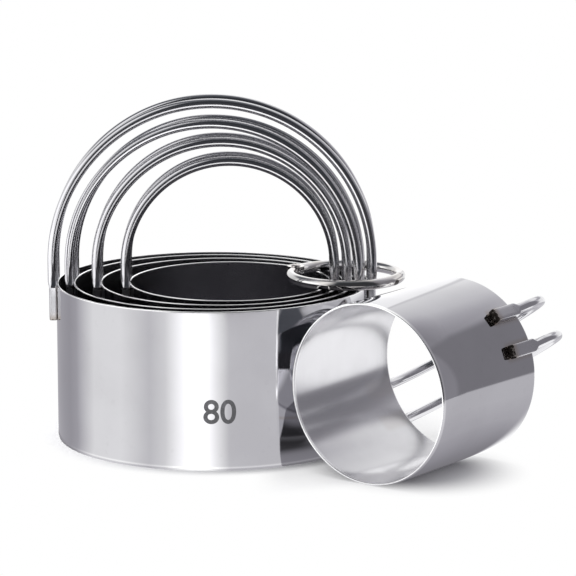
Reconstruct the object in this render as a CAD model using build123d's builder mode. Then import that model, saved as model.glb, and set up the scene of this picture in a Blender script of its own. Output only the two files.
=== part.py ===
from build123d import *

import os
from math import asin, cos, degrees, radians, sin, sqrt
from typing import NamedTuple

# A nesting set of five round cutters. Each is an open band of sheet steel with a handle of two bent
# wires welded to it. Four stand in each other, kept together by a hinged ring round their right-hand
# legs, and the smallest lies on its side against them. Lengths in millimetres, +Z up, origin on the
# floor at the axis of the largest cutter, handles spanning X, viewer on the -Y side.

# Bands
band_height = 40.0
wall_thickness = 0.5
bevel_height = 0.8
bevel_depth = 0.2
rim_round = 0.12

# Outer diameter of the largest, and how much smaller each next one is
largest_diameter = 80.0
large_step = 7.5
middle_step = 10.0
small_step = 10.5
smallest_step = 7.0

# Handle wires
wire_diameter = 2.5
wire_spacing = 8.6
lying_wire_spacing = 9.8
largest_leg_rise = 5.7
large_leg_rise = 4.3
middle_leg_rise = 4.7
small_leg_rise = 5.1
smallest_leg_rise = 4.5
large_handle_yaw = -4.7
lying_handle_lean = -4.2

# Pressed feet of the wires, welded to the outside of the band
foot_width = 3.4
foot_thickness = 1.9
foot_drop = 9.2
lying_foot_drop = 9.9
foot_corner = 0.5
foot_bed = 0.3
shoulder_below_rim = 1.1
shoulder_length = 1.9

# Nest: each cutter stands off to the right, its feet close to the wall around it
nest_gap = 0.5

# Ring
ring_outer_diameter = 30.5
ring_wire_diameter = 2.7
ring_rest_gap = 0.25
ring_shift_x = -1.8
ring_shift_y = -0.7
ring_hinge_angle = 157.0
knuckle_diameter = 4.4
eye_thickness = 1.0
hinge_gap = 0.1
pin_diameter = 1.3
pin_clearance = 0.05
pin_head_diameter = 2.6
pin_head_height = 0.55
pin_dot_diameter = 0.7
pin_dot_depth = 0.2
lap_length = 3.2
lap_gap = 0.1
lap_end_gap = 0.25

# Lying cutter: leans against the nest at half its height
lying_gap = 0.3
lying_axis_angle = 53.17
lying_handle_angle = 32.4

# Cuts run past the surfaces that they cut by this much
overrun = 1.0


large_diameter = largest_diameter - large_step
middle_diameter = large_diameter - middle_step
small_diameter = middle_diameter - small_step
smallest_diameter = small_diameter - smallest_step


class Cutter(NamedTuple):
    """One cutter's sizes, and the plane of its cutting edge with its handle along that plane's X."""

    name: str
    wires: tuple
    diameter: float
    leg_rise: float
    spacing: float
    drop: float
    lean: float
    base: Plane


def leg_reach(diameter, spacing):
    """Distance of a leg's centreline from the middle of its arch."""
    return sqrt((diameter / 2 + foot_thickness / 2) ** 2 - (spacing / 2) ** 2)


def nest_step(outer_diameter, inner_diameter):
    """How far right of its neighbour's axis a cutter stands, a gap left between leg and wall."""
    inner_wall = sqrt((outer_diameter / 2 - wall_thickness) ** 2 - (wire_spacing / 2) ** 2)
    return inner_wall - nest_gap - wire_diameter / 2 - leg_reach(inner_diameter, wire_spacing)


def standing_base(axis_x, yaw=0):
    """Floor plane of a standing cutter, its handle turned by the yaw."""
    return Plane((axis_x, 0, 0), x_dir=(cos(radians(yaw)), sin(radians(yaw)), 0), z_dir=(0, 0, 1))


def lying_base():
    """Plane of the lying cutter's cutting edge, whose axis is level and touches half way along."""
    along = Vector(cos(radians(lying_axis_angle)), sin(radians(lying_axis_angle)), 0)
    away = Vector(sin(radians(lying_axis_angle)), -cos(radians(lying_axis_angle)), 0)
    lift = Vector(0, 0, 1)
    origin = (
        away * (largest_diameter / 2 + lying_gap + smallest_diameter / 2)
        - along * (band_height / 2)
        + lift * (smallest_diameter / 2)
    )
    handle = away * cos(radians(lying_handle_angle)) + lift * sin(radians(lying_handle_angle))
    return Plane(origin, x_dir=handle, z_dir=along)


def upright(plane):
    """The plane through a base plane's X axis and its normal."""
    return Plane(plane.origin, x_dir=plane.x_dir, z_dir=plane.y_dir * -1)


def turned(plane, angle):
    """The same plane, its X axis turned about its normal."""
    turn = Axis((0, 0, 0), plane.z_dir)
    return Plane(plane.origin, x_dir=plane.x_dir.rotate(turn, angle), z_dir=plane.z_dir)


def make_band(cutter):
    """A straight tube with a bevelled cutting edge and a softened upper rim."""
    radius = cutter.diameter / 2
    inner = radius - wall_thickness
    with BuildPart() as band:
        with BuildSketch(upright(cutter.base)) as section:
            with BuildLine():
                Polyline(
                    (inner, 0),
                    (radius - bevel_depth, 0),
                    (radius, bevel_height),
                    (radius, band_height),
                    (inner, band_height),
                    close=True,
                )
            make_face()
            fillet(section.vertices().group_by(Axis(cutter.base.origin, cutter.base.z_dir))[-1], rim_round)
        revolve(axis=Axis(cutter.base.origin, cutter.base.z_dir))
    return band.part


def make_wire(cutter, side):
    """One wire of a handle: an arch on two straight legs, each ending in a pressed foot.

    The side is +1 or -1, for the half of the handle at positive or negative Y of the cutter's base.
    """
    radius = cutter.diameter / 2
    reach = leg_reach(cutter.diameter, cutter.spacing)
    flat_top = band_height - shoulder_below_rim
    leg_start = flat_top + shoulder_length
    foot_angle = degrees(asin(side * cutter.spacing / 2 / (radius + foot_thickness / 2)))
    base = cutter.base
    rise_dir = base.z_dir * cos(radians(cutter.lean)) + base.y_dir * sin(radians(cutter.lean))
    middle = base.origin + base.y_dir * (side * cutter.spacing / 2) + base.z_dir * leg_start
    bend_plane = Plane(middle, x_dir=base.x_dir, z_dir=base.x_dir.cross(rise_dir))
    straight = band_height + cutter.leg_rise - leg_start
    with BuildPart() as wire:
        with BuildLine(bend_plane) as route:
            Line((-reach, 0), (-reach, straight))
            CenterArc((0, straight), reach, 180, -180)
            Line((reach, straight), (reach, 0))
        with BuildSketch(Plane(route.line @ 0, z_dir=route.line % 0)):
            Circle(wire_diameter / 2)
        sweep()
        for end, angle in ((route.line @ 0, 180 - foot_angle), (route.line @ 1, foot_angle)):
            foot_plane = turned(base, angle)
            with BuildSketch(foot_plane.offset(band_height - cutter.drop)):
                with Locations((radius + (foot_thickness - foot_bed) / 2, 0)):
                    RectangleRounded(foot_thickness + foot_bed, foot_width, foot_corner)
            extrude(amount=cutter.drop - shoulder_below_rim)
            with BuildSketch(foot_plane.offset(flat_top)):
                with Locations((radius + (foot_thickness - foot_bed) / 2, 0)):
                    RectangleRounded(foot_thickness + foot_bed, foot_width, foot_corner)
            with BuildSketch(Plane(end, x_dir=foot_plane.x_dir, z_dir=rise_dir)):
                Circle(wire_diameter / 2)
            loft()
        with BuildSketch(base):
            Circle(radius)
        extrude(amount=band_height, mode=Mode.SUBTRACT)
    return wire.part


def ring_point(angle):
    """The point of the ring's centreline at this angle round the ring."""
    return ring_base.from_local_coords(
        (ring_radius * cos(radians(angle)), ring_radius * sin(radians(angle)), 0)
    )


def ring_plane_at(angle):
    """Level plane on the ring's centreline, X away from the ring's middle."""
    outward = (cos(radians(angle)), sin(radians(angle)), 0)
    return Plane(ring_point(angle), x_dir=outward, z_dir=(0, 0, 1))


def ring_arc(start, end):
    """Round wire along the ring's centreline between two angles."""
    with BuildPart() as arc:
        with BuildLine(ring_base) as route:
            CenterArc((0, 0), ring_radius, start, end - start)
        with BuildSketch(Plane(route.line @ 0, z_dir=route.line % 0)):
            Circle(ring_wire_diameter / 2)
        sweep()
    return arc.part


def make_ring_back_half():
    """The ring's back half, with the hinge's fork and the lower half of the lap."""
    with BuildPart() as half:
        add(ring_arc(snap_angle - lap_turn / 2 + lap_end_turn, ring_hinge_angle + 360))
        # Fork: a knuckle as thick as the wire, slotted for the eye, with the pin's hole
        with BuildSketch(hinge_plane.offset(-ring_wire_diameter / 2)):
            Circle(knuckle_diameter / 2)
        extrude(amount=ring_wire_diameter)
        with BuildSketch(hinge_plane.offset(-eye_thickness / 2 - hinge_gap)):
            Circle(knuckle_diameter / 2 + hinge_gap)
        extrude(amount=eye_thickness + 2 * hinge_gap, mode=Mode.SUBTRACT)
        with BuildSketch(hinge_plane):
            Circle(pin_diameter / 2)
        extrude(amount=ring_wire_diameter, both=True, mode=Mode.SUBTRACT)
        # Lap: the upper half is cut away
        with BuildSketch(snap_plane.offset(-lap_gap / 2)):
            with Locations((0, -overrun / 2)):
                Rectangle(ring_wire_diameter + 2 * overrun, lap_length + overrun)
        extrude(amount=ring_wire_diameter, mode=Mode.SUBTRACT)
    return half.part


def make_ring_front_half():
    """The ring's front half, with the hinge's eye and the upper half of the lap."""
    with BuildPart() as half:
        add(ring_arc(ring_hinge_angle, snap_angle + lap_turn / 2 - lap_end_turn))
        # Eye: a thin disc on the pin, with room for the fork above and below it
        for side in (-1, 1):
            with BuildSketch(hinge_plane.offset(side * eye_thickness / 2)):
                Circle(knuckle_diameter / 2 + hinge_gap)
            extrude(amount=side * ring_wire_diameter, mode=Mode.SUBTRACT)
        with BuildSketch(hinge_plane.offset(-eye_thickness / 2)):
            Circle(knuckle_diameter / 2)
        extrude(amount=eye_thickness)
        with BuildSketch(hinge_plane):
            Circle(pin_diameter / 2 + pin_clearance)
        extrude(amount=ring_wire_diameter, both=True, mode=Mode.SUBTRACT)
        # Lap: the lower half is cut away
        with BuildSketch(snap_plane.offset(lap_gap / 2)):
            with Locations((0, overrun / 2)):
                Rectangle(ring_wire_diameter + 2 * overrun, lap_length + overrun)
        extrude(amount=-ring_wire_diameter, mode=Mode.SUBTRACT)
    return half.part


def make_ring_pin():
    """Rivet of the ring's hinge, flush below, with a dotted dome on top."""
    top = ring_wire_diameter / 2
    with BuildPart() as pin:
        with BuildSketch(hinge_plane.offset(-top)):
            Circle(pin_diameter / 2)
        extrude(amount=ring_wire_diameter)
        with BuildSketch(upright(hinge_plane)):
            with BuildLine():
                Line((0, top + pin_head_height), (0, top))
                Line((0, top), (pin_head_diameter / 2, top))
                EllipticalCenterArc((0, top), pin_head_diameter / 2, pin_head_height, 0, arc_size=90)
            make_face()
        revolve(axis=Axis(hinge_plane.origin, hinge_plane.z_dir))
        with BuildSketch(hinge_plane.offset(top + pin_head_height)):
            Circle(pin_dot_diameter / 2)
        extrude(amount=-pin_dot_depth, mode=Mode.SUBTRACT)
    return pin.part


def save(name, part):
    """Label a finished piece and write it."""
    part.label = name
    export_step(part, f"parts/{name}.step")


large_x = nest_step(largest_diameter, large_diameter)
middle_x = large_x + nest_step(large_diameter, middle_diameter)
small_x = middle_x + nest_step(middle_diameter, small_diameter)
front_and_back = ("front_wire", "back_wire")

cutters = (
    Cutter(
        name="largest_cutter",
        wires=front_and_back,
        diameter=largest_diameter,
        leg_rise=largest_leg_rise,
        spacing=wire_spacing,
        drop=foot_drop,
        lean=0,
        base=standing_base(0),
    ),
    Cutter(
        name="large_cutter",
        wires=front_and_back,
        diameter=large_diameter,
        leg_rise=large_leg_rise,
        spacing=wire_spacing,
        drop=foot_drop,
        lean=0,
        base=standing_base(large_x, large_handle_yaw),
    ),
    Cutter(
        name="middle_cutter",
        wires=front_and_back,
        diameter=middle_diameter,
        leg_rise=middle_leg_rise,
        spacing=wire_spacing,
        drop=foot_drop,
        lean=0,
        base=standing_base(middle_x),
    ),
    Cutter(
        name="small_cutter",
        wires=front_and_back,
        diameter=small_diameter,
        leg_rise=small_leg_rise,
        spacing=wire_spacing,
        drop=foot_drop,
        lean=0,
        base=standing_base(small_x),
    ),
    Cutter(
        name="smallest_cutter",
        wires=("upper_wire", "lower_wire"),
        diameter=smallest_diameter,
        leg_rise=smallest_leg_rise,
        spacing=lying_wire_spacing,
        drop=lying_foot_drop,
        lean=lying_handle_lean,
        base=lying_base(),
    ),
)

# The ring's middle, set from the middle of the bundle of right-hand legs, and its level on the rims
bundle_right = leg_reach(largest_diameter, wire_spacing) + wire_diameter / 2
bundle_left = small_x + leg_reach(small_diameter, wire_spacing) - wire_diameter / 2
ring_level = band_height + ring_rest_gap + ring_wire_diameter / 2
ring_base = Plane(((bundle_left + bundle_right) / 2 + ring_shift_x, ring_shift_y, ring_level))
ring_radius = (ring_outer_diameter - ring_wire_diameter) / 2
snap_angle = ring_hinge_angle + 180
lap_turn = degrees(lap_length / ring_radius)
lap_end_turn = degrees(lap_end_gap / ring_radius)
hinge_plane = ring_plane_at(ring_hinge_angle)
snap_plane = ring_plane_at(snap_angle)

os.makedirs("parts", exist_ok=True)
for cutter in cutters:
    save(f"{cutter.name}_band", make_band(cutter))
    for side, wire_name in zip((-1, 1), cutter.wires):
        save(f"{cutter.name}_{wire_name}", make_wire(cutter, side))
save("ring_back_half", make_ring_back_half())
save("ring_front_half", make_ring_front_half())
save("ring_hinge_pin", make_ring_pin())
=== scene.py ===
"""Looks of a nesting set of round biscuit cutters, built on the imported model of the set.

Four open bands of polished sheet steel stand in each other under their arched wire handles, a hinged
ring keeps their right-hand legs together, and the smallest band lies on its side against them.
"""

import logging
from collections.abc import Callable, Iterable, Iterator
from contextlib import contextmanager
from dataclasses import dataclass
from enum import Enum
from math import asin, atan2, cos, hypot, pi, radians, sin, sqrt
from typing import Optional, Union

import bmesh
import bpy
from mathutils import Matrix, Vector


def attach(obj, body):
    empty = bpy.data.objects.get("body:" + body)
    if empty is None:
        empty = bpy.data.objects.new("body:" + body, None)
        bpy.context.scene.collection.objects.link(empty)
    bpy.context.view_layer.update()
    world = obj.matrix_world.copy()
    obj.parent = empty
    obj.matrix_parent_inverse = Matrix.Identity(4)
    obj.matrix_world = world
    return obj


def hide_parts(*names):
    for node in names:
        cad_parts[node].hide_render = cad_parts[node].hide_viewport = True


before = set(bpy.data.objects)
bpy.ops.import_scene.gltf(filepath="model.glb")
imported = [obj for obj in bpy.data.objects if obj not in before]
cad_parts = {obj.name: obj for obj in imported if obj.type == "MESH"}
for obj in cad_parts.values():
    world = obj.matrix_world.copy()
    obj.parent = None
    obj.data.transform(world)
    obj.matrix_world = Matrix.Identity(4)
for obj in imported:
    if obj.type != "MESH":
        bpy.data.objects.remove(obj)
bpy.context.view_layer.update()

MM = 0.001
NEAR = 0.01 * MM  # Lengths that differ by less count as the same
LOG = logging.getLogger("biscuit_cutters")

Colour = tuple[float, float, float]
Place = tuple[float, float, float]
Levels = tuple[tuple[float, float], ...]


# Shader maths


@dataclass(frozen=True)
class Signal:
    """One socket of a node tree, whose arithmetic adds Math nodes."""

    tree: "Tree"
    socket: bpy.types.NodeSocket

    def __add__(self, other: "Term") -> "Signal":
        """Sum."""
        return self.tree.maths("ADD", self, other)

    __radd__ = __add__

    def __sub__(self, other: "Term") -> "Signal":
        """Difference."""
        return self.tree.maths("SUBTRACT", self, other)

    def __rsub__(self, other: "Term") -> "Signal":
        """A number less this."""
        return self.tree.maths("SUBTRACT", other, self)

    def __mul__(self, other: "Term") -> "Signal":
        """Product."""
        return self.tree.maths("MULTIPLY", self, other)

    __rmul__ = __mul__

    def __truediv__(self, other: "Term") -> "Signal":
        """Quotient."""
        return self.tree.maths("DIVIDE", self, other)

    def __rtruediv__(self, other: "Term") -> "Signal":
        """A number over this."""
        return self.tree.maths("DIVIDE", other, self)

    def __neg__(self) -> "Signal":
        """The opposite number."""
        return self.tree.maths("MULTIPLY", self, -1.0)

    def __pow__(self, other: "Term") -> "Signal":
        """Power."""
        return self.tree.maths("POWER", self, other)

    def __abs__(self) -> "Signal":
        """Distance from zero."""
        return self.tree.maths("ABSOLUTE", self)

    def at_least(self, other: "Term") -> "Signal":
        """The larger of the two."""
        return self.tree.maths("MAXIMUM", self, other)

    def at_most(self, other: "Term") -> "Signal":
        """The smaller of the two."""
        return self.tree.maths("MINIMUM", self, other)

    def toward(self, other: "Term", share: "Term") -> "Signal":
        """This, moved by a share of the way to another value."""
        return self + (other - self) * share

    def sine(self) -> "Signal":
        """Sine of an angle in radians."""
        return self.tree.maths("SINE", self)

    def arcsine(self) -> "Signal":
        """Angle in radians of a sine, which is held within its range."""
        return self.tree.maths("ARCSINE", self.at_least(-0.9999).at_most(0.9999))

    def folded(self, width: float) -> "Signal":
        """Distance from the nearest whole number of double widths."""
        return self.tree.maths("PINGPONG", self, width)

    def step(self, start: float, end: float) -> "Signal":
        """Soft step from 0 to 1.

        Args:
            start: Value at which the step leaves 0.
            end: Value at which it reaches 1, which may be the smaller of the two.

        Returns:
            A signal between 0 and 1.
        """
        if start > end:
            return 1.0 - self.step(end, start)
        inputs = {"Value": self, "From Min": start, "From Max": end}
        return self.tree.node("ShaderNodeMapRange", {"interpolation_type": "SMOOTHSTEP"}, inputs)


Term = Union[Signal, float, int]


@dataclass(frozen=True)
class Tree:
    """A node tree that is being wired."""

    data: bpy.types.NodeTree

    def node(
        self,
        kind: str,
        settings: Optional[dict] = None,
        inputs: Optional[dict] = None,
        output: Union[int, str] = 0,
    ) -> Signal:
        """Add a node.

        Args:
            kind: Blender's name of the node type.
            settings: Properties that are set first; "stops" fills a colour ramp.
            inputs: Values or signals by the name or index of their socket.
            output: Name or index of the socket that is handed back.

        Returns:
            The chosen output.
        """
        made = self.data.nodes.new(kind)
        for name, value in (settings or {}).items():
            if name == "stops":
                fill_ramp(made.color_ramp, value)
            else:
                setattr(made, name, value)
        for name, value in (inputs or {}).items():
            if isinstance(value, Signal):
                self.data.links.new(value.socket, made.inputs[name])
            else:
                made.inputs[name].default_value = value
        return Signal(self, made.outputs[output]) if made.outputs else Signal(self, made.inputs[0])

    def maths(self, operation: str, *terms: Term) -> Signal:
        """Add a Math node on these terms."""
        return self.node("ShaderNodeMath", {"operation": operation}, dict(enumerate(terms)))

    def ramp(self, place: Term, stops: Iterable[tuple[float, float]]) -> Signal:
        """Look a level up in a table.

        Args:
            place: Where to look, from 0 to 1.
            stops: Places and levels, which may be above 1.

        Returns:
            The level.
        """
        listed = list(stops)
        top = max(level for _, level in listed)
        scaled = [(at, level / top) for at, level in listed]
        return self.node("ShaderNodeValToRGB", {"stops": scaled}, {0: place}) * top

    def tint(self, factor: Term, start: Union[Signal, Colour], end: Union[Signal, Colour]) -> Signal:
        """Mix two colours."""
        inputs = {0: factor}
        for index, colour in ((6, start), (7, end)):
            inputs[index] = colour if isinstance(colour, Signal) else (*colour, 1.0)
        return self.node("ShaderNodeMix", {"data_type": "RGBA"}, inputs, 2)

    def mix(self, factor: Term, start: Signal, end: Signal) -> Signal:
        """Mix two shaders."""
        return self.node("ShaderNodeMixShader", {}, {0: factor, 1: start, 2: end})

    def noise(self, place: Signal, scale: float, detail: float = 2.0) -> Signal:
        """Fractal noise from 0 to 1 at a place."""
        return self.node("ShaderNodeTexNoise", {}, {"Vector": place, "Scale": scale, "Detail": detail})

    def stretched(self, place: Signal, scale: Place) -> Signal:
        """A place whose axes are scaled apart."""
        return self.node("ShaderNodeMapping", {}, {"Vector": place, "Scale": scale})

    def axes(self, vector: Signal) -> tuple[Signal, Signal, Signal]:
        """The three numbers of a vector."""
        split = self.node("ShaderNodeSeparateXYZ", {}, {0: vector}).socket.node
        return tuple(Signal(self, output) for output in split.outputs)

    def coordinates(self, kind: str) -> Signal:
        """One output of Texture Coordinate."""
        return self.node("ShaderNodeTexCoord", {}, {}, kind)

    def attribute(self, name: str, output: str) -> Signal:
        """A value that the piece's own mesh holds."""
        return self.node("ShaderNodeAttribute", {"attribute_name": name}, {}, output)

    def rays(self, kind: str) -> Signal:
        """1 for rays of this kind, and 0 for the others."""
        return self.node("ShaderNodeLightPath", {}, {}, kind)

    def emission(self, level: Term) -> Signal:
        """White light of this level."""
        return self.node("ShaderNodeEmission", {}, {"Strength": level})

    def output(self, surface: Signal) -> None:
        """Send a shader to the material's output."""
        self.node("ShaderNodeOutputMaterial", {}, {"Surface": surface})

    def lilac(self, level: Signal) -> Signal:
        """Light that leans to lilac where it is weak, as shaded white paper does."""
        colour = self.tint(level.step(0.2, 1.1), (0.985, 0.96, 1.05), (1.0, 1.0, 1.0))
        return self.node("ShaderNodeEmission", {}, {"Color": colour, "Strength": level})


def fill_ramp(ramp: bpy.types.ColorRamp, stops: Iterable[tuple[float, float]]) -> None:
    """Give a ramp its stops, each a place and a level of grey."""
    ordered = sorted(stops)
    while len(ramp.elements) < len(ordered):
        ramp.elements.new(0.5)
    for element, (place, level) in zip(ramp.elements, ordered):
        element.position = place
        element.color = (level, level, level, 1.0)


def new_material(name: str) -> tuple[bpy.types.Material, Tree]:
    """An empty material and its tree."""
    material = bpy.data.materials.new(name)
    material.use_nodes = True
    material.node_tree.nodes.clear()
    return material, Tree(material.node_tree)


# Finishes


@dataclass(frozen=True)
class Steel:
    """Polished stainless steel, with the marks that rolling, handling and washing leave on it, and painted shade
    that makes chosen spots near black.
    """

    colour: Colour = (0.645, 0.642, 0.665)
    haze: Colour = (0.595, 0.59, 0.612)
    tarnish: Colour = (0.46, 0.385, 0.31)
    # Near-black colour of painted shade, for the wires' cut ends and the ring's snap
    painted_shade: Colour = (0.045, 0.038, 0.034)
    ground: Colour = (0.96, 0.96, 0.965)
    roughness: float = 0.035
    smudge: float = 0.03
    brushing: float = 0.03
    fineness: float = 6500.0
    scratch_depth: float = 0.0004
    scratch_fineness: float = 1900.0
    scratch_dulling: float = 0.05
    cloud_scale: float = 70.0
    cloud_haze: float = 0.55
    spot_scale: float = 520.0
    spot_haze: float = 0.35
    worn_dulling: float = 0.12
    shaded_dulling: float = 0.25
    least_roughness: float = 0.02

    def wire_up(
        self,
        tree: Tree,
        grain: Signal,
        place: Signal,
        heat: Term = 0.0,
        wear: Term = 0.0,
        shade_mask: Term = 0.0,
        bright: Term = 0.0,
    ) -> None:
        """Make the surface.

        Args:
            tree: The material's tree, without nodes.
            grain: Coordinates in metres whose X runs along the polishing marks.
            place: Coordinates in metres for the marks that have no direction.
            heat: How far welding has coloured the steel, from 0 to 1.
            wear: How far an edge is rubbed dull, from 0 to 1.
            shade_mask: 1 where painted shade makes the steel near black, on the cut ends of the wires' feet and
                in the ring's snap, and 0 elsewhere.
            bright: 1 where an edge is freshly ground, and 0 elsewhere.
        """
        cloud = tree.noise(place, self.cloud_scale, 3.0).step(0.38, 0.70)
        spots = tree.noise(place, self.spot_scale).step(0.62, 0.80)
        lines = tree.noise(tree.stretched(grain, (70.0, self.fineness, self.fineness)), 1.0)
        scratched = tree.stretched(grain, (30.0, self.scratch_fineness, self.scratch_fineness))
        scratches = tree.noise(scratched, 1.0, 1.0).step(0.68, 0.76)
        colour = tree.tint(cloud * self.cloud_haze + spots * self.spot_haze, self.colour, self.haze)
        if heat != 0.0:
            colour = tree.tint(heat, colour, self.tarnish)
        # Painted shade: the steel turns near black where the mask says shade falls
        if shade_mask != 0.0:
            colour = tree.tint(shade_mask, colour, self.painted_shade)
        if bright != 0.0:
            colour = tree.tint(bright, colour, self.ground)
        rough = cloud * self.smudge + (lines - 0.5) * self.brushing + scratches * self.scratch_dulling
        rough = rough + self.roughness + wear * self.worn_dulling + heat * self.worn_dulling
        rough = (rough + shade_mask * self.shaded_dulling).at_least(self.least_roughness)
        surface = {"Base Color": colour, "Metallic": 1.0, "Roughness": rough}
        if self.scratch_depth:
            heights = {"Strength": 0.3, "Distance": self.scratch_depth * MM, "Height": lines - scratches}
            surface["Normal"] = tree.node("ShaderNodeBump", {}, heights)
        tree.output(tree.node("ShaderNodeBsdfPrincipled", {}, surface))


@dataclass(frozen=True)
class BandFinish:
    """Mirror-polished sheet, rubbed along its rim and cutting edge and tinted round the welds.

    Lengths in metres. The feet of the wires lie at foot_offset along the wall from the handle's middle.
    """

    steel: Steel
    radius: float
    height: float
    foot_offset: float
    foot_middle: float
    foot_half: float
    foot_half_width: float = 1.5 * MM
    weld_halo: float = 1.9 * MM
    weld_heat: float = 0.45
    seam_halo: float = 1.3 * MM
    seam_heat: float = 0.35

    def make(self, name: str) -> bpy.types.Material:
        """Make the material.

        Args:
            name: Name of the material.

        Returns:
            A material for a band whose UV map holds its length round the wall and its height.
        """
        material, tree = new_material(name)
        grain = tree.coordinates("UV")
        place = tree.coordinates("Object")
        along, up, _ = tree.axes(grain)
        half_turn = pi * self.radius
        from_leg = abs(along.folded(half_turn / 2) - self.foot_offset) - self.foot_half_width
        from_foot = abs(up - self.foot_middle) - self.foot_half
        clear = ((from_leg.at_least(0.0) ** 2) + (from_foot.at_least(0.0) ** 2)) ** 0.5
        satin = tree.attribute("inside", "Fac")
        weld = (clear + tree.noise(place, 900.0) * 0.6 * MM).step(self.weld_halo, 0.3 * MM)
        seam = (along.folded(half_turn) + tree.noise(place, 700.0) * 0.5 * MM).step(self.seam_halo, 0.2 * MM)
        heat = weld * (self.weld_heat - satin * 0.33)
        heat = heat.at_least(seam * (self.seam_heat - satin * self.seam_heat))
        rubbed = up.step(1.2 * MM, 0.5 * MM).at_least(up.step(self.height - 0.5 * MM, self.height))
        self.steel.wire_up(tree, grain, place, heat, rubbed + satin, 0.0, rubbed)
        return material


@dataclass(frozen=True)
class WireFinish:
    """Drawn and tumbled wire, duller on its pressed feet, tinted where they are welded, and painted near black
    as shade on their cut ends.
    """

    steel: Steel
    heated: float = 3.6 * MM
    heat: float = 0.65
    pressed: float = 9.5 * MM
    pressed_wear: float = 1.3

    def make(self, name: str) -> bpy.types.Material:
        """Make the material.

        Args:
            name: Name of the material.

        Returns:
            A material for a wire whose mesh holds "grain" and "rise".
        """
        material, tree = new_material(name)
        grain = tree.attribute("grain", "Vector")
        rise = tree.attribute("rise", "Fac")
        place = tree.coordinates("Object")
        ragged = rise + tree.noise(place, 800.0) * 1.5 * MM
        heat = ragged.step(self.heated, 0.4 * MM) * self.heat
        wear = rise.step(self.pressed, self.pressed - 2 * MM) * self.pressed_wear
        # Painted shade: the lowest millimetre or so of each foot, its cut end, turns near black
        self.steel.wire_up(tree, grain, place, heat, wear, ragged.step(1.1 * MM, 0.8 * MM))
        return material


@dataclass(frozen=True)
class RingFinish:
    """Tumbled ring steel without a grain, warm in patches, and painted near black as shade in the gap of its
    snap.
    """

    steel: Steel
    snap: Place = (0.0469, -0.0088, 0.0411)
    snap_size: float = 0.0014

    def make(self, name: str) -> bpy.types.Material:
        """Make the material under this name."""
        material, tree = new_material(name)
        place = tree.coordinates("Object")
        x, y, z = (axis - middle for axis, middle in zip(tree.axes(place), self.snap))
        # Painted shade: near black in the gap where the ring's ends snap together
        away = (x * x + y * y + z * z * 1.6) ** 0.5 + tree.noise(place, 900.0) * 0.3 * MM
        snap_shade = away.step(self.snap_size, self.snap_size * 0.75)
        warm = tree.noise(place, 120.0).step(0.44, 0.62) * 0.25
        self.steel.wire_up(tree, tree.stretched(place, (1.0, 0.2, 0.2)), place, warm, 0.0, snap_shade)
        return material


@dataclass(frozen=True)
class MarkFinish:
    """A dark grey mark, thin enough for the polish below to show through it in specks."""

    ink: Colour = (0.10, 0.10, 0.105)
    worn: Colour = (0.22, 0.22, 0.23)

    def make(self, name: str) -> bpy.types.Material:
        """Make the material under this name."""
        material, tree = new_material(name)
        place = tree.coordinates("Object")
        specks = tree.noise(place, 2600.0, 3.0).step(0.50, 0.75)
        patches = tree.noise(place, 380.0).step(0.45, 0.75)
        heights = {"Strength": 0.3, "Distance": 0.01 * MM, "Height": specks}
        surface = {
            "Base Color": tree.tint(specks * 0.5 + patches * 0.4, self.ink, self.worn),
            "Roughness": patches * 0.15 + 0.45,
            "Normal": tree.node("ShaderNodeBump", {}, heights),
        }
        tree.output(tree.node("ShaderNodeBsdfPrincipled", {}, surface))
        return material


# The bench


class Element(Enum):
    """What is picked in edit mode."""

    VERT = "verts"
    EDGE = "edges"


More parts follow.
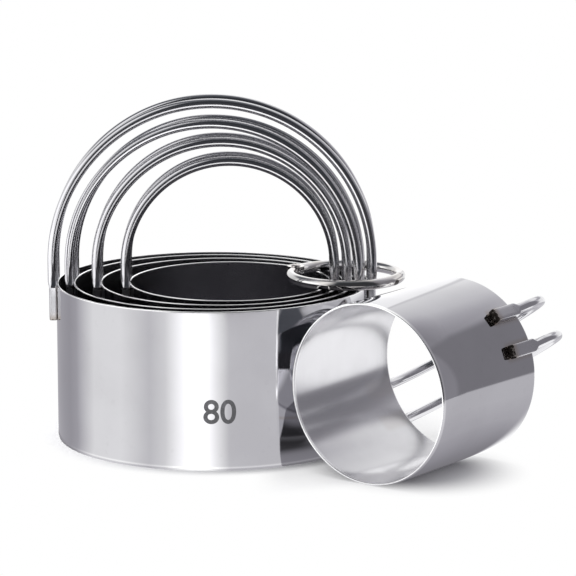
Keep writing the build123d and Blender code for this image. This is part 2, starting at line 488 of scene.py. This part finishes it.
class Bench:
    """One mesh on the bench, shaped with Blender's own tools."""

    def __init__(self, name: str, primitive: Callable[..., set], **size: object) -> None:
        """Start from a primitive.

        Args:
            name: Name of the piece.
            primitive: The operator that adds it.
            size: What the operator is told, lengths in metres.
        """
        bpy.ops.object.select_all(action="DESELECT")
        primitive(**size)
        self.piece = bpy.context.object
        self.piece.name = self.piece.data.name = name
        bpy.ops.object.transform_apply(location=True, rotation=True, scale=True)

    @contextmanager
    def editing(self) -> Iterator[None]:
        """Edit mode, with nothing selected at its start."""
        bpy.ops.object.select_all(action="DESELECT")
        self.piece.select_set(True)
        bpy.context.view_layer.objects.active = self.piece
        bpy.ops.object.mode_set(mode="EDIT")
        bpy.ops.mesh.select_all(action="DESELECT")
        yield
        bpy.ops.object.mode_set(mode="OBJECT")

    @property
    def mesh(self) -> bmesh.types.BMesh:
        """The mesh in edit mode."""
        return bmesh.from_edit_mesh(self.piece.data)

    def pick(self, element: Element, test: Callable[[Vector], bool]) -> None:
        """Select the elements all of whose corners pass a test."""
        bpy.ops.mesh.select_mode(type=element.name)
        bpy.ops.mesh.select_all(action="DESELECT")
        mesh = self.mesh
        for item in getattr(mesh, element.value):
            corners = [item] if element is Element.VERT else item.verts
            item.select_set(all(test(corner.co) for corner in corners))
        mesh.select_flush_mode()
        bmesh.update_edit_mesh(self.piece.data)

    def cut_across(self, point: Vector, normal: Vector) -> None:
        """Cut all faces along a plane."""
        bpy.ops.mesh.select_all(action="SELECT")
        bpy.ops.mesh.bisect(plane_co=point, plane_no=normal)

    def extrude(self, by: Vector) -> None:
        """Pull the selection out."""
        bpy.ops.mesh.extrude_region_move(TRANSFORM_OT_translate={"value": by})

    def modify(self, kind: str, **settings: object) -> None:
        """Add a modifier and apply it."""
        modifier = self.piece.modifiers.new(kind.title(), kind)
        for name, value in settings.items():
            setattr(modifier, name, value)
        bpy.ops.object.select_all(action="DESELECT")
        bpy.context.view_layer.objects.active = self.piece
        self.piece.select_set(True)
        bpy.ops.object.modifier_apply(modifier=modifier.name)

    def settle(self, place: Matrix, smooth: float) -> bpy.types.Object:
        """Put the finished piece in its place.

        Args:
            place: From the piece's own frame to the set's.
            smooth: Angle in degrees below which neighbouring faces shade as one.

        Returns:
            The piece, its place in its mesh.
        """
        with self.editing():
            bpy.ops.mesh.select_all(action="SELECT")
            bpy.ops.mesh.normals_make_consistent(inside=False)
        bpy.ops.object.shade_smooth_by_angle(angle=radians(smooth))
        self.piece.data.transform(place)
        return self.piece

    def set_attribute(self, name: str, kind: str, value: Callable[[Vector], object]) -> None:
        """Keep a value on each vertex.

        Args:
            name: Name of the attribute.
            kind: FLOAT or FLOAT_VECTOR.
            value: Gives the value at a place in the piece's own frame.
        """
        layer = self.piece.data.attributes.new(name, kind, "POINT")
        field_name = "value" if kind == "FLOAT" else "vector"
        for vertex, item in zip(self.piece.data.vertices, layer.data):
            setattr(item, field_name, value(vertex.co))


def dress(piece: bpy.types.Object, material: bpy.types.Material) -> None:
    """Give a piece this material alone."""
    piece.data.materials.clear()
    piece.data.materials.append(material)


def blend(start: float, end: float, share: float) -> float:
    """A value between two others, eased at both ends."""
    return start + (end - start) * share * share * (3 - 2 * share)


# The set's pieces


class Part(Enum):
    """What a cutter's wires are called, the one at negative Y of its own frame first."""

    STANDING = ("front_wire", "back_wire")
    LYING = ("upper_wire", "lower_wire")


@dataclass
class Cutter:
    """A band of sheet steel and its handle of two bent wires. Lengths in millimetres.

    Its own frame has its origin in the middle of the cutting edge, Z up the band and X along the handle.
    """

    name: str
    diameter: float
    leg_rise: float
    place: Matrix
    wires: Part = Part.STANDING
    spacing: float = 8.6
    drop: float = 9.2
    lean: float = 0.0
    seam: float = 0.0
    height: float = 40.0
    wall: float = 0.5
    bevel_height: float = 0.8
    bevel_depth: float = 0.2
    rim_round: float = 0.12
    edge_round: float = 0.03
    edge_hold: float = 0.05
    rim_hold: float = 0.06
    wire_diameter: float = 2.5
    foot_width: float = 3.4
    foot_thickness: float = 1.9
    foot_squareness: float = 0.34
    foot_swell: float = 0.13
    foot_bite: float = 0.02
    shoulder_below_rim: float = 1.1
    shoulder_length: float = 1.9
    facets: int = 400

    @property
    def radius(self) -> float:
        """Outer radius of the band."""
        return self.diameter / 2

    @property
    def reach(self) -> float:
        """Distance of a leg's centreline from the middle of its arch."""
        return sqrt((self.radius + self.foot_thickness / 2) ** 2 - (self.spacing / 2) ** 2)

    @property
    def leg_start(self) -> float:
        """Level at which the legs are round."""
        return self.height - self.shoulder_below_rim + self.shoulder_length

    @property
    def arch_level(self) -> float:
        """Level of the middle of the arch."""
        return self.height + self.leg_rise

    def build(self, steel: Steel, wire_steel: Steel) -> None:
        """Model and dress the band and the wires.

        Args:
            steel: Polish of the sheet.
            wire_steel: Polish of the wire.
        """
        band = self.make_band()
        turn = asin(self.spacing / 2 / (self.radius + self.foot_thickness / 2))
        foot_length = self.drop - self.shoulder_below_rim
        finish = BandFinish(
            steel,
            self.radius * MM,
            self.height * MM,
            self.radius * turn * MM,
            (self.height - self.drop + foot_length / 2) * MM,
            foot_length / 2 * MM,
        )
        dress(band, finish.make(f"{self.name}_sheet"))
        self.hand_over(band, f"{self.name}_band")
        drawn = WireFinish(wire_steel).make(f"{self.name}_wire")
        for side, wire in zip((-1, 1), self.wires.value):
            piece = self.make_wire(side, wire)
            dress(piece, drawn)
            self.hand_over(piece, f"{self.name}_{wire}")

    def hand_over(self, piece: bpy.types.Object, node: str) -> None:
        """Let a piece stand for its plain solid and move with this cutter."""
        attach(piece, self.name)
        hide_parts(node)
        LOG.info("%s: %d faces", piece.name, len(piece.data.polygons))

    def make_band(self) -> bpy.types.Object:
        """Model the band: a tube with a wall, a ground cutting edge and a softened rim."""
        radius, wall, height = self.radius * MM, self.wall * MM, self.height * MM
        bench = Bench(
            f"{self.name}_band_polished",
            bpy.ops.mesh.primitive_cylinder_add,
            vertices=self.facets,
            radius=radius,
            depth=height,
            end_fill_type="NOTHING",
            calc_uvs=False,
            location=(0, 0, height / 2),
        )
        edge, rim, hold = self.bevel_height, self.height - self.rim_round, self.edge_hold
        with bench.editing():
            for level in (edge - hold, edge, edge + hold, 10, 20, 30, rim - self.rim_hold):
                bench.cut_across(Vector((0, 0, level * MM)), Vector((0, 0, 1)))
        bench.modify("SOLIDIFY", thickness=wall, offset=-1.0, use_even_offset=True)
        middle = radius - wall / 2
        share = self.bevel_depth * hold / self.bevel_height
        with bench.editing():
            for level, depth in ((0, self.bevel_depth), (edge - hold, share)):
                grind = (self.radius - depth) / self.radius
                bench.pick(Element.VERT, lambda at: hypot(at.x, at.y) > middle and abs(at.z - level * MM) < NEAR)
                bpy.ops.transform.resize(value=(grind, grind, 1), center_override=(0, 0, 0))
            for level, offset, segments in ((self.height, self.rim_round, 4), (0, self.edge_round, 2)):
                bench.pick(Element.EDGE, lambda at: abs(at.z - level * MM) < NEAR)
                self.keep_circles(bench)
                bpy.ops.mesh.bevel(offset=offset * MM, segments=segments, affect="EDGES")
        self.unroll(bench.piece)
        bench.set_attribute("inside", "FLOAT", lambda at: 1.0 if hypot(at.x, at.y) < middle else 0.0)
        return bench.settle(self.place, 26)

    @staticmethod
    def keep_circles(bench: Bench) -> None:
        """Leave the edges that run round the band selected, and not those across its wall."""
        mesh = bench.mesh
        for edge in mesh.edges:
            if edge.select:
                near, far = (hypot(corner.co.x, corner.co.y) for corner in edge.verts)
                edge.select_set(abs(near - far) < NEAR)
        bmesh.update_edit_mesh(bench.piece.data)

    def unroll(self, piece: bpy.types.Object) -> None:
        """Give the band a UV map of its length round the wall from the seam, and its height, in metres."""
        radius, start = self.radius * MM, radians(self.seam)
        layer = piece.data.uv_layers.new(name="unrolled")
        vertices, loops = piece.data.vertices, piece.data.loops
        for face in piece.data.polygons:
            middle = (atan2(face.center.y, face.center.x) - start) % (2 * pi)
            for index in face.loop_indices:
                at = vertices[loops[index].vertex_index].co
                turn = (atan2(at.y, at.x) - start - middle + pi) % (2 * pi) - pi + middle
                layer.data[index].uv = (turn * radius, at.z)

    def make_wire(self, side: int, wire: str) -> bpy.types.Object:
        """Model one wire: straight legs, an arch, and a pressed foot at each end.

        Args:
            side: -1 or 1, for the wire at negative or positive Y.
            wire: Name of the wire.

        Returns:
            The wire in its place.
        """
        across = side * self.spacing / 2 * MM
        start, arch = self.leg_start * MM, self.arch_level * MM
        reach, straight = self.reach * MM, (self.arch_level - self.leg_start) * MM
        bench = Bench(
            f"{self.name}_{wire}_drawn",
            bpy.ops.mesh.primitive_circle_add,
            vertices=48,
            radius=self.wire_diameter / 2 * MM,
            location=(-reach, across, start),
        )
        with bench.editing():
            self.mark_phase(bench, Vector((-reach, across, start)))
            bpy.ops.mesh.select_all(action="SELECT")
            bench.extrude(Vector((0, 0, straight)))
            bpy.ops.mesh.spin(steps=120, angle=-pi, center=(0, across, arch), axis=(0, 1, 0))
            bench.extrude(Vector((0, 0, -straight)))
        pivot = Matrix.Translation((0, across, start))
        bench.piece.data.transform(pivot @ Matrix.Rotation(-radians(self.lean), 4, "X") @ pivot.inverted())
        with bench.editing():
            for end in (-1, 1):
                bench.pick(Element.VERT, lambda at: at.z < start + 1.0 * MM and at.x * end > 0)
                self.press_foot(bench, side, end)
        foot_end = (self.height - self.drop) * MM

        def grain(at: Vector) -> Vector:
            """Place along the wire and across it."""
            if at.z > arch:
                turn = atan2(at.z - arch, -at.x)
                return Vector((turn * reach, hypot(at.x, at.z - arch) - reach, at.y - across))
            far = at.z - arch if at.x < 0 else pi * reach + arch - at.z
            return Vector((far, abs(at.x) - reach, at.y - across))

        bench.set_attribute("grain", "FLOAT_VECTOR", grain)
        bench.set_attribute("rise", "FLOAT", lambda at: at.z - foot_end)
        return bench.settle(self.place, 42)

    @staticmethod
    def mark_phase(bench: Bench, centre: Vector) -> None:
        """Keep on each point its angle round the wire, which the points pulled out of it copy."""
        mesh = bench.mesh
        layer = mesh.verts.layers.float.new("phase")
        for vertex in mesh.verts:
            vertex[layer] = atan2(vertex.co.y - centre.y, vertex.co.x - centre.x)
        bmesh.update_edit_mesh(bench.piece.data)

    def press_foot(self, bench: Bench, side: int, end: int) -> None:
        """Draw the selected end of the wire down into a pressed foot.

        Args:
            bench: The wire, in edit mode.
            side: -1 or 1, for the wire at negative or positive Y.
            end: -1 or 1, for the leg at negative or positive X.
        """
        flat_top, foot_end = self.height - self.shoulder_below_rim, self.height - self.drop
        # Levels, how far the wire is pressed there, and how far its corners are drawn in
        stages = [(self.leg_start - self.shoulder_length * k / 8, k / 8, 0.0) for k in range(1, 9)]
        stages += [(flat_top - (flat_top - foot_end) * k / 4, 1.0, 0.0) for k in range(1, 4)]
        stages += [(foot_end + 0.16, 1.0, 0.0), (foot_end + 0.05, 1.0, 0.05), (foot_end, 1.0, 0.17)]
        turn = asin(side * self.spacing / 2 / (self.radius + self.foot_thickness / 2))
        angle = turn if end > 0 else pi - turn
        outward, sideways = Vector((cos(angle), sin(angle), 0)), Vector((-sin(angle), cos(angle), 0))
        wire = self.wire_diameter / 2
        for level, share, inset in stages:
            bench.extrude(Vector((0, 0, 0)))
            mesh = bench.mesh
            layer = mesh.verts.layers.float["phase"]
            swell = self.foot_swell * sin(pi * share)
            deep = blend(wire, self.foot_thickness / 2, share) + swell / 4 - inset
            wide = blend(wire, self.foot_width / 2, share) + swell - inset
            square = blend(1.0, self.foot_squareness, share)
            middle = outward * (self.radius + self.foot_thickness / 2 - self.foot_bite) + Vector((0, 0, level))
            for vertex in mesh.verts:
                if vertex.select:
                    spoke = Vector((-end * cos(vertex[layer]), sin(vertex[layer]), 0))
                    out, aside = spoke.dot(outward), spoke.dot(sideways)
                    out = (abs(out) ** square) * (1 if out > 0 else -1)
                    aside = (abs(aside) ** square) * (1 if aside > 0 else -1)
                    vertex.co = (middle + outward * deep * out + sideways * wide * aside) * MM
            bmesh.update_edit_mesh(bench.piece.data)
        bpy.ops.mesh.edge_face_add()


@dataclass
class LegRing:
    """The hinged ring round the right-hand legs: two halves and the rivet of their hinge."""

    nodes: tuple[str, ...] = ("ring_back_half", "ring_hinge_pin", "ring_front_half")

    def dress(self, steel: Steel) -> None:
        """Give the solids, whose shapes are right, their finish."""
        finish = RingFinish(steel).make("ring_tumbled")
        for node in self.nodes:
            dress(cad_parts[node], finish)
            LOG.info("%s dressed", node)


@dataclass
class DiameterMark:
    """The number that tells the largest cutter's width, bent onto its wall. Lengths in millimetres."""

    text: str = "80"
    radius: float = 40.0
    angle: float = 3.6
    level: float = 14.6
    size: float = 8.4
    lift: float = 0.006
    thickness: float = 0.01
    boldness: float = 0.12
    slices: int = 41
    slice_width: float = 0.3

    def build(self) -> None:
        """Model the number and dress it."""
        bpy.ops.object.select_all(action="DESELECT")
        bpy.ops.object.text_add()
        words = bpy.context.object
        words.data.body = self.text
        words.data.size = self.size * MM
        words.data.extrude = self.thickness / 2 * MM
        words.data.offset = self.boldness * MM
        words.data.align_x, words.data.align_y = "CENTER", "CENTER"
        bpy.ops.object.convert(target="MESH")
        piece = bpy.context.object
        piece.name = piece.data.name = "largest_cutter_width_mark"
        bpy.ops.object.mode_set(mode="EDIT")
        for step in range(self.slices):
            across = (step - self.slices // 2) * self.slice_width * MM
            bpy.ops.mesh.select_all(action="SELECT")
            bpy.ops.mesh.bisect(plane_co=(across, 0, 0), plane_no=(1, 0, 0))
        bpy.ops.mesh.select_all(action="SELECT")
        bpy.ops.mesh.remove_doubles(threshold=0.001 * MM)
        bpy.ops.mesh.normals_make_consistent(inside=False)
        bpy.ops.object.mode_set(mode="OBJECT")
        out = (self.radius + self.lift + self.thickness / 2) * MM
        for vertex in piece.data.vertices:
            turn = vertex.co.x / out + radians(self.angle)
            far = out + vertex.co.z
            vertex.co = (far * sin(turn), -far * cos(turn), self.level * MM + vertex.co.y)
        dress(piece, MarkFinish().make("width_mark"))
        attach(piece, "largest_cutter")
        LOG.info("%s: %d faces", piece.name, len(piece.data.polygons))


# The studio


@dataclass(frozen=True)
class Viewpoint:
    """The camera. Lengths in metres, angle in radians."""

    place: Place = (0.01930, -0.81735, 0.20203)
    pitch: float = 0.198
    lens: float = 203.03
    sensor: float = 36.0

    def build(self) -> None:
        """Put the camera in the scene."""
        data = bpy.data.cameras.new("viewpoint")
        data.lens, data.sensor_width = self.lens, self.sensor
        data.clip_start, data.clip_end = 0.01, 50.0
        camera = bpy.data.objects.new("viewpoint", data)
        camera.location = self.place
        camera.rotation_euler = (pi / 2 - self.pitch, 0, 0)
        bpy.context.scene.collection.objects.link(camera)
        bpy.context.scene.camera = camera


@dataclass(frozen=True)
class TablePlace:
    """A place on the table, in metres.

    It is measured from the nest's axis to the right, behind and as far as it lies, and from the lying
    cutter's middle along that cutter and beside it.
    """

    x: Signal
    y: Signal
    far: Signal
    along: Signal
    beside: Signal


# Gives where a board is, and its level there, from the direction in degrees and the height
Paint = Callable[[Tree, Signal, Signal], tuple[Signal, Signal]]


@dataclass(frozen=True)
class Studio:
    """A white table under soft light, with glowing white and grey boards round it that only polished steel
    shows, and painted light and shade on the table that only polished steel sees.
    """

    nest_radius: float = 0.040
    camera_distance: float = 0.817
    camera_aside: float = 0.0193
    lying_middle: tuple[float, float] = (0.05026, -0.03764)
    lying_along: tuple[float, float] = (0.59944, 0.80042)
    lying_half: float = 0.020
    board_radius: float = 0.235
    board_height: float = 0.30
    bent_radius: float = 0.14
    bent_height: float = 0.25
    floor_size: float = 6.0
    table_white: float = 0.93
    # Painted light and shade on the table, which only polished steel sees: its reach, a bright patch at the left
    # rear, and the dark inside the nest
    shade_reach: float = 0.1
    left_rear_level: float = 1.6
    nest_shade_level: float = 0.09
    dark_board_level: float = 0.06
    panel_level: float = 0.50
    band_level: float = 0.26
    sky_level: float = 0.72
    zenith_level: float = 0.16
    lamp_aim: Place = (0.02, -0.01, 0.02)

    # Levels of the painted light on the table that polished steel sees, by direction, in degrees from the
    # viewer, positive to the right
    table_levels: Levels = (
        (-180, 0.50), (-165, 0.47), (-130, 0.43), (-119, 0.50), (-107, 0.80), (-97, 1.04), (-70, 1.06),
        (-58, 0.93), (-46, 0.77), (-34, 0.94), (-24, 1.40), (-16, 1.75), (-4, 1.75), (4, 1.25), (13, 0.78),
        (22, 0.76), (110, 0.76), (180, 0.50),
    )
    # Levels of the painted shade round the lying cutter, by distance from it, as a share of shade_reach
    contact_levels: Levels = (
        (0.0, 0.05), (0.08, 0.22), (0.13, 0.30), (0.17, 0.38), (0.21, 0.45), (0.28, 0.55), (0.38, 0.60),
        (0.55, 0.645), (1.0, 0.655),
    )
    # Levels of the studio's walls and ceiling by direction, low and high
    low_levels: Levels = (
        (-180, 1.35), (-165, 1.10), (-140, 0.9), (-120, 0.7), (-95, 1.5), (-60, 1.6), (-40, 0.9),
        (-20, 0.06), (55, 0.05), (85, 0.25), (100, 0.33), (160, 0.9), (172, 1.2), (180, 1.35),
    )
    high_levels: Levels = (
        (-180, 1.10), (-168, 0.9), (-155, 0.16), (-97, 0.14), (-85, 0.9), (-50, 1.4), (-25, 0.05),
        (10, 0.04), (70, 0.06), (100, 0.4), (130, 0.75), (150, 0.9), (180, 1.05),
    )
    # Levels of the bent board by direction, as a share of half a turn to the right, low and high
    bent_levels: Levels = (
        (0.0, 0.31), (0.500, 0.31), (0.515, 0.50), (0.535, 0.68), (0.560, 0.74), (0.585, 1.0), (0.60, 1.08),
        (0.812, 1.06), (0.820, 0.85), (0.827, 0.85), (0.834, 1.25), (1.0, 1.35),
    )
    bent_upper_levels: Levels = (
        (0.0, 0.33), (0.45, 0.33), (0.53, 0.42), (0.60, 0.55), (0.67, 0.74), (0.75, 0.86), (0.812, 0.95),
        (0.820, 0.82), (0.827, 0.82), (0.834, 1.2), (1.0, 1.30),
    )

    def build(self) -> None:
        """Set the table, boards, lamps and sky."""
        self.lay_table()
        self.stand_boards()
        self.hang_lamp("key", (-0.36, 0.34, 1.18), 0.80, 9.0)
        self.hang_lamp("fill", (0.0, -0.90, 0.95), 1.10, 1.5)
        self.paint_sky()
        bpy.context.scene.view_settings.view_transform = "Standard"

    @staticmethod
    def by_direction(levels: Levels) -> list[tuple[float, float]]:
        """A ramp's stops from levels by degrees."""
        return [(degree / 360 + 0.5, level) for degree, level in levels]

    def mirrored_direction(self, tree: Tree, x: Signal, y: Signal) -> Signal:
        """Direction in which the nest's wall sends the viewer's glance to a place on the table.

        The wall of a round tube spreads what it mirrors, so each of its upright stripes shows one such
        direction, and a table striped by it gives stripes that are the same from rim to edge.

        Args:
            tree: The table's tree.
            x: Place to the right of the nest's axis, in metres.
            y: Place behind it.

        Returns:
            The direction in radians from the viewer, positive to the right.
        """
        around = tree.maths("ARCTAN2", x, -y)
        share = self.nest_radius / ((x * x + y * y) ** 0.5).at_least(0.0405)
        spread = self.nest_radius / self.camera_distance
        aside = self.camera_aside / self.camera_distance
        turn = around * 0.5
        heading = around
        for _ in range(4):
            heading = around + ((turn + turn.sine() * spread - aside).sine() * share).arcsine()
            turn = (heading - turn.sine() * spread + aside) * 0.5
        return heading

    def lay_table(self) -> None:
        """The white table, which the viewer sees white and polished steel sees with painted light and shade."""
        bpy.ops.object.select_all(action="DESELECT")
        bpy.ops.mesh.primitive_circle_add(vertices=96, radius=self.floor_size / 2, fill_type="NGON")
        table = bpy.context.object
        table.name = "table"
        material, tree = new_material("table_white")
        x, y, _ = tree.axes(tree.coordinates("Object"))
        along_x, along_y = self.lying_along
        from_x, from_y = x - self.lying_middle[0], y - self.lying_middle[1]
        along, beside = from_x * along_x + from_y * along_y, from_x * along_y - from_y * along_x
        at = TablePlace(x, y, (x * x + y * y) ** 0.5, along, beside)
        white = tree.node("ShaderNodeBsdfDiffuse", {}, {"Color": (*[self.table_white] * 3, 1.0)})
        seen = tree.mix(self.clear_of_shade(at) * tree.rays("Is Camera Ray"), white, tree.emission(1.0))
        surface = tree.mix(tree.rays("Is Glossy Ray"), seen, tree.lilac(self.mirrored_level(tree, at)))
        tree.output(surface)
        dress(table, material)

    @staticmethod
    def clear_of_shade(at: TablePlace) -> Signal:
        """1 where the viewer sees plain white, and 0 in the shade of the cutters."""
        under = (at.along * at.along * 1.2 + at.beside * at.beside) ** 0.5
        corner = at.beside.step(0.002, -0.006) * at.x.step(0.010, 0.020) * at.far.step(0.068, 0.058)
        return under.step(0.012, 0.031) * at.far.step(0.0400, 0.0460) * (1.0 - corner * 0.4)

    def mirrored_level(self, tree: Tree, at: TablePlace) -> Signal:
        """Level of the table in polished steel, by direction, and by the lying cutter's shade at the right."""
        heading = self.mirrored_direction(tree, at.x, at.y)
        level = tree.ramp(heading / (2 * pi) + 0.5, self.by_direction(self.table_levels))
        left_rear = at.far.step(0.245, 0.275) * heading.step(-2.2, -2.0) * heading.step(-0.5, -0.7)
        right = heading.step(0.885, 0.899) * heading.step(3.1, 2.7)
        level = level.toward(self.left_rear_level, left_rear).toward(self.lying_shade(tree, at), right)
        # Painted shade: darker in a ring round the nest's foot, and near black inside the nest
        level = level * (at.far.step(0.0401, 0.0412) * 0.4 + 0.6)
        return level * at.far.step(0.0392, 0.0398) + at.far.step(0.0398, 0.0392) * self.nest_shade_level

    def lying_shade(self, tree: Tree, at: TablePlace) -> Signal:
        """Level round the lying cutter, with light behind it and little between it and the nest."""
        past = (abs(at.along) - self.lying_half).at_least(0.0)
        near = (past * past + at.beside * at.beside) ** 0.5
        behind = (at.along * 0.75 - 0.006 - at.beside).step(-0.003, 0.003)
        behind = behind * (at.x - at.y * 0.5).step(0.050, 0.062)
        strip = (at.y - at.x * 0.16).step(0.016, 0.004)
        shaded = tree.ramp(near / self.shade_reach, self.contact_levels).toward(strip * 0.66 + 0.62, behind)
        hemmed = at.beside.step(0.0, -0.010) * at.along.step(0.026, 0.018)
        return shaded * (1.0 - hemmed * (at.far.step(0.045, 0.051) * 0.5 + 0.35))

    def stand_boards(self) -> None:
        """A dark board before the viewer, and a nearer grey and white one round the right and back."""
        self.stand_board("dark_board", self.board_radius, self.board_height, self.paint_dark_board)
        self.stand_board("bent_board", self.bent_radius, self.bent_height, self.paint_bent_board)

    @staticmethod
    def stand_board(name: str, radius: float, height: float, paint: Paint) -> None:
        """Stand a bent board that glows with painted light, and that only polished steel shows.

        Args:
            name: Name of the board.
            radius: How far it stands from the nest's axis, in metres.
            height: Its height.
            paint: Says where the board is, and its level there.
        """
        bpy.ops.object.select_all(action="DESELECT")
        bpy.ops.mesh.primitive_cylinder_add(
            vertices=128, radius=radius, depth=height, end_fill_type="NOTHING", location=(0, 0, height / 2)
        )
        board = bpy.context.object
        board.name = name
        bpy.ops.object.transform_apply(location=True, rotation=True, scale=True)
        material, tree = new_material(f"{name}_paint")
        x, y, z = tree.axes(tree.coordinates("Object"))
        there, level = paint(tree, tree.maths("ARCTAN2", x, -y) * (180 / pi), z)
        # The board has no light on it: it glows with painted light at the level it is given
        surface = tree.mix(there, tree.node("ShaderNodeBsdfTransparent"), tree.lilac(level))
        tree.output(surface)
        dress(board, material)
        board.visible_camera = board.visible_diffuse = board.visible_shadow = False

    def paint_dark_board(self, tree: Tree, around: Signal, z: Signal) -> tuple[Signal, Signal]:
        """Nearly black, and only before the viewer."""
        top = around.step(55, 75) * (self.board_height - 0.10) + 0.10
        there = around.step(-30, -24) * around.step(95, 93) * (top - z).step(0.0, 0.03)
        return there, around.step(60, 75) * 0.27 + self.dark_board_level

    def paint_bent_board(self, tree: Tree, around: Signal, z: Signal) -> tuple[Signal, Signal]:
        """Grey at the right, white behind, dimmer above, with a darker band and panel."""
        lower = tree.ramp(around / 180, self.bent_levels)
        upper = tree.ramp(around / 180, self.bent_upper_levels)
        there = around.step(69, 72) * z.step(0.0125, 0.0155) * (self.bent_height - z).step(0.0, 0.03)
        level = lower.toward(upper, (z + around.folded(126) * -0.0006 + 0.075).step(0.095, 0.125))
        panel = around.step(102, 106) * around.step(139, 135) * z.step(0.050, 0.058) * z.step(0.076, 0.070)
        band = around.step(106, 98) * z.step(0.105, 0.090)
        return there, level.toward(self.panel_level, panel).toward(self.band_level, band)

    def hang_lamp(self, name: str, place: Place, size: float, power: float) -> None:
        """A soft square lamp over the table, facing the set."""
        data = bpy.data.lights.new(name, "AREA")
        data.shape, data.size, data.energy = "SQUARE", size, power
        lamp = bpy.data.objects.new(name, data)
        lamp.location = place
        lamp.rotation_euler = (Vector(self.lamp_aim) - Vector(place)).to_track_quat("-Z", "Y").to_euler()
        lamp.visible_glossy = False
        bpy.context.scene.collection.objects.link(lamp)

    def paint_sky(self) -> None:
        """White all round for the viewer, and the studio's walls and ceiling for polished steel."""
        world = bpy.data.worlds.new("studio")
        bpy.context.scene.world = world
        world.use_nodes = True
        world.node_tree.nodes.clear()
        tree = Tree(world.node_tree)
        x, y, z = tree.axes(tree.coordinates("Generated"))
        place = tree.maths("ARCTAN2", x, -y) / (2 * pi) + 0.5
        low = tree.ramp(place, self.by_direction(self.low_levels))
        high = tree.ramp(place, self.by_direction(self.high_levels))
        level = low.toward(high, z.step(0.38, 0.60)).toward(self.zenith_level, z.step(0.88, 0.97))
        camera, glossy = tree.rays("Is Camera Ray"), tree.rays("Is Glossy Ray")
        plain = camera * (1 - self.sky_level) + self.sky_level
        cool = tree.tint(glossy * level.step(0.5, 0.0), (1.0, 1.0, 1.0), (0.90, 0.97, 1.10))
        cool = tree.tint(camera.at_least(glossy), (0.985, 0.985, 1.02), cool)
        sky = tree.node("ShaderNodeBackground", {}, {"Color": cool, "Strength": plain.toward(level, glossy)})
        tree.node("ShaderNodeOutputWorld", {}, {"Surface": sky})


# The set


@dataclass(frozen=True)
class Layout:
    """Where the cutters stand and lie. Lengths in millimetres, angles in degrees."""

    largest: float = 80.0
    nest_axes: tuple[float, ...] = (0.0, 0.564, 2.391, 4.486)
    large_yaw: float = -4.7
    smallest: float = 45.0
    height: float = 40.0
    lying_gap: float = 0.3
    axis_angle: float = 53.17
    handle_angle: float = 32.4

    @staticmethod
    def frame_at(origin: Vector, handle: Vector, axis: Vector) -> Matrix:
        """A cutter's frame from its origin, the direction of its handle and its axis."""
        side = axis.cross(handle)
        place = Matrix((handle, side, axis)).transposed().to_4x4()
        place.translation = origin * MM
        return place

    def standing(self, index: int, yaw: float = 0.0) -> Matrix:
        """Frame of a cutter of the nest."""
        handle = Vector((cos(radians(yaw)), sin(radians(yaw)), 0))
        return self.frame_at(Vector((self.nest_axes[index], 0, 0)), handle, Vector((0, 0, 1)))

    def lying(self) -> Matrix:
        """Frame of the cutter that lies against the nest."""
        angle, tilt = radians(self.axis_angle), radians(self.handle_angle)
        along, away = Vector((cos(angle), sin(angle), 0)), Vector((sin(angle), -cos(angle), 0))
        up = Vector((0, 0, 1))
        distance = self.largest / 2 + self.lying_gap + self.smallest / 2
        origin = away * distance - along * self.height / 2 + up * self.smallest / 2
        return self.frame_at(origin, away * cos(tilt) + up * sin(tilt), along)

    def cutters(self) -> list[Cutter]:
        """The five cutters."""
        return [
            Cutter("largest_cutter", self.largest, 5.7, self.standing(0)),
            Cutter("large_cutter", 72.5, 4.3, self.standing(1, self.large_yaw)),
            Cutter("middle_cutter", 62.5, 4.7, self.standing(2)),
            Cutter("small_cutter", 52.0, 5.1, self.standing(3)),
            Cutter(
                "smallest_cutter",
                self.smallest,
                4.5,
                self.lying(),
                wires=Part.LYING,
                spacing=9.8,
                drop=9.9,
                lean=-4.2,
                seam=180.0,
            ),
        ]


def main() -> None:
    """Build and dress the set, piece by piece, then the studio round it."""
    logging.basicConfig(level=logging.INFO, format="%(name)s: %(message)s")
    sheet = Steel()
    wire = Steel(roughness=0.12, smudge=0.03, brushing=0.01, fineness=1400.0, scratch_depth=0.0)
    ring = Steel(colour=(0.70, 0.69, 0.69), roughness=0.06)
    Viewpoint().build()
    for cutter in Layout().cutters():
        cutter.build(sheet, wire)
    LegRing().dress(ring)
    DiameterMark().build()
    Studio().build()


if __name__ == "__main__":
    main()
